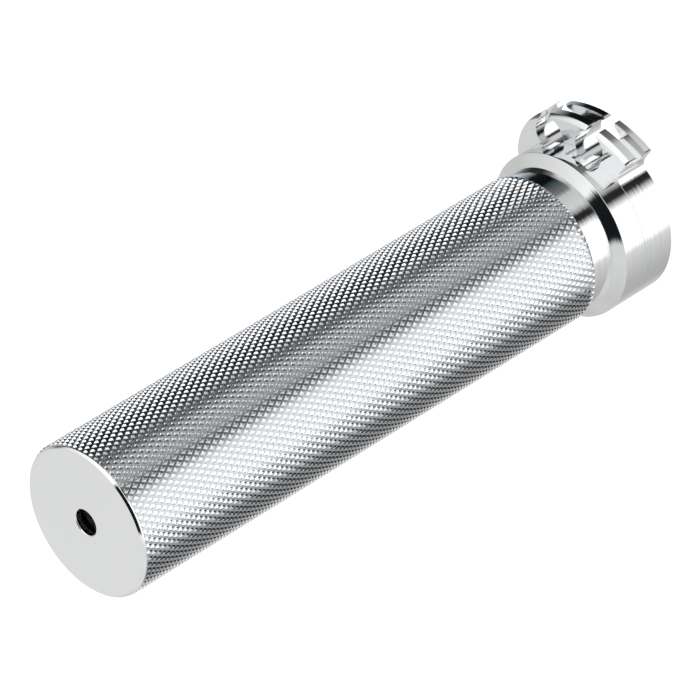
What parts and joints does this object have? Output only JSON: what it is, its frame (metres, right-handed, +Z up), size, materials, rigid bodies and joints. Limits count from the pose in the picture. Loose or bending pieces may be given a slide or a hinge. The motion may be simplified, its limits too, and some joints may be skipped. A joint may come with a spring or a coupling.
{
  "type": "throttle grip",
  "caption": "Knurled aluminium throttle grip with a flat drilled end cap, a bevelled flange and a lobed drum with keyhole pockets for two cables, turning on a bar liner.",
  "frame": {"origin": "on the handlebar's axis, in the plane of the drum's rear face, where the bar enters", "axes": "+X along the handlebar outwards to the end cap, +Z up through the drum's lobes, +Y forward"},
  "size_m": [0.1428, 0.036, 0.0417],
  "materials": {
    "knurled_aluminium": "polished, with a diamond knurl",
    "polished_aluminium": "polished",
    "turned_aluminium": "bright, with fine turning marks",
    "acetal": "satin",
    "bronze": "bored",
    "steel": "ground",
    "rubber": "smooth"
  },
  "bodies": {
    "liner": {"bar_liner": "acetal", "inner_thrust_washer": "steel", "outer_thrust_washer": "steel", "liner_retaining_ring": "steel"},
    "grip": {"grip_sleeve": "knurled_aluminium", "inner_bush": "bronze", "outer_bush": "bronze", "flange_collar": "turned_aluminium", "throttle_drum": "turned_aluminium", "drive_pins": "steel", "collar_set_screws": "steel", "end_cap": "polished_aluminium", "end_cap_seal": "rubber"}
  },
  "joints": [
    {"name": "throttle_twist", "type": "hinge", "parent": "liner", "child": "grip", "pos_m": [0, 0, 0], "axis": [1, 0, 0], "range_deg": [0, 85]}
  ]
}
